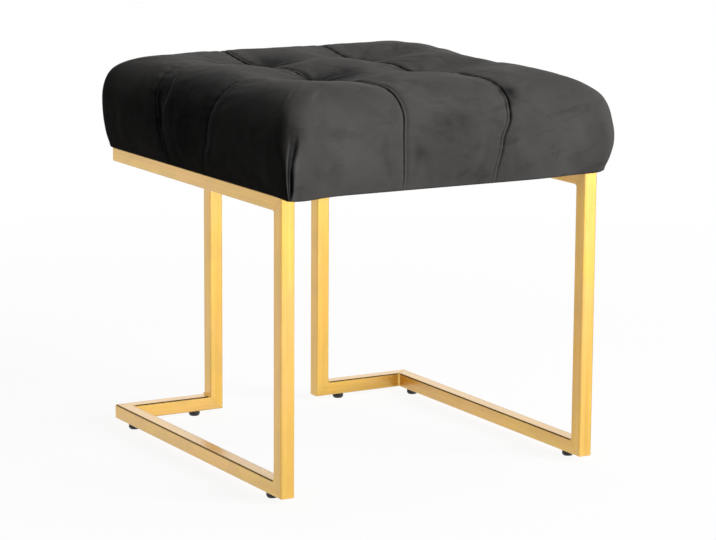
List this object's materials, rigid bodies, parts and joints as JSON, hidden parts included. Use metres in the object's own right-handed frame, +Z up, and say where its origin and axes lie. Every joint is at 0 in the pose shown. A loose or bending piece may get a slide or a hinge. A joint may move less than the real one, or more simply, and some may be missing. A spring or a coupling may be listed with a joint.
{
  "type": "upholstered stool",
  "caption": "Square seat stool with a biscuit-tufted velvet cushion on two mirrored side frames of brass-coloured square tube, standing on low screw-in glides.",
  "frame": {"origin": "on the floor, under the middle of the stool", "axes": "+Z up, +Y towards the back, +X to the right as seen from the front"},
  "size_m": [0.474, 0.534, 0.5022],
  "materials": {
    "gold_frame": "steel tube, brass-coloured plating, finely brushed along its length, clear lacquered",
    "velvet": "charcoal short pile velvet with brushed nap marks",
    "foam": "cut polyurethane seat foam",
    "lining": "black spun-bonded lining cloth",
    "twine": "waxed tufting twine",
    "plywood": "birch plywood, unfinished",
    "black_plastic": "moulded black nylon",
    "zinc_steel": "zinc plated steel"
  },
  "bodies": {
    "stool": {"top_rail_left": "gold_frame", "top_return_left": "gold_frame", "front_leg_left": "gold_frame", "rear_leg_left": "gold_frame", "floor_rail_left": "gold_frame", "floor_return_left": "gold_frame", "top_rail_right": "gold_frame", "top_return_right": "gold_frame", "front_leg_right": "gold_frame", "rear_leg_right": "gold_frame", "floor_rail_right": "gold_frame", "floor_return_right": "gold_frame", "glide_nut_front_left": "zinc_steel", "glide_nut_rear_left": "zinc_steel", "glide_nut_inner_left": "zinc_steel", "glide_nut_front_right": "zinc_steel", "glide_nut_rear_right": "zinc_steel", "glide_nut_inner_right": "zinc_steel", "seat_screw_front_left": "zinc_steel", "seat_screw_rear_left": "zinc_steel", "seat_screw_inner_left": "zinc_steel", "seat_screw_front_right": "zinc_steel", "seat_screw_rear_right": "zinc_steel", "seat_screw_inner_right": "zinc_steel", "board_insert_front_left": "zinc_steel", "board_insert_rear_left": "zinc_steel", "board_insert_inner_left": "zinc_steel", "board_insert_front_right": "zinc_steel", "board_insert_rear_right": "zinc_steel", "board_insert_inner_right": "zinc_steel", "tuft_tie_front_left": "twine", "tuft_tie_rear_left": "twine", "tuft_tie_front_right": "twine", "tuft_tie_rear_right": "twine", "seat_board": "plywood", "seat_foam": "foam", "velvet_cover": "velvet", "dust_cover": "lining"},
    "glide_front_left": {"glide_pad_front_left": "black_plastic", "glide_stud_front_left": "zinc_steel"},
    "glide_rear_left": {"glide_pad_rear_left": "black_plastic", "glide_stud_rear_left": "zinc_steel"},
    "glide_inner_left": {"glide_pad_inner_left": "black_plastic", "glide_stud_inner_left": "zinc_steel"},
    "glide_front_right": {"glide_pad_front_right": "black_plastic", "glide_stud_front_right": "zinc_steel"},
    "glide_rear_right": {"glide_pad_rear_right": "black_plastic", "glide_stud_rear_right": "zinc_steel"},
    "glide_inner_right": {"glide_pad_inner_right": "black_plastic", "glide_stud_inner_right": "zinc_steel"}
  },
  "joints": [
    {"name": "level_front_left", "type": "slide", "parent": "stool", "child": "glide_front_left", "axis": [0, 0, -1], "range_m": [0, 0.006]},
    {"name": "level_rear_left", "type": "slide", "parent": "stool", "child": "glide_rear_left", "axis": [0, 0, -1], "range_m": [0, 0.006]},
    {"name": "level_inner_left", "type": "slide", "parent": "stool", "child": "glide_inner_left", "axis": [0, 0, -1], "range_m": [0, 0.006]},
    {"name": "level_front_right", "type": "slide", "parent": "stool", "child": "glide_front_right", "axis": [0, 0, -1], "range_m": [0, 0.006]},
    {"name": "level_rear_right", "type": "slide", "parent": "stool", "child": "glide_rear_right", "axis": [0, 0, -1], "range_m": [0, 0.006]},
    {"name": "level_inner_right", "type": "slide", "parent": "stool", "child": "glide_inner_right", "axis": [0, 0, -1], "range_m": [0, 0.006]}
  ]
}
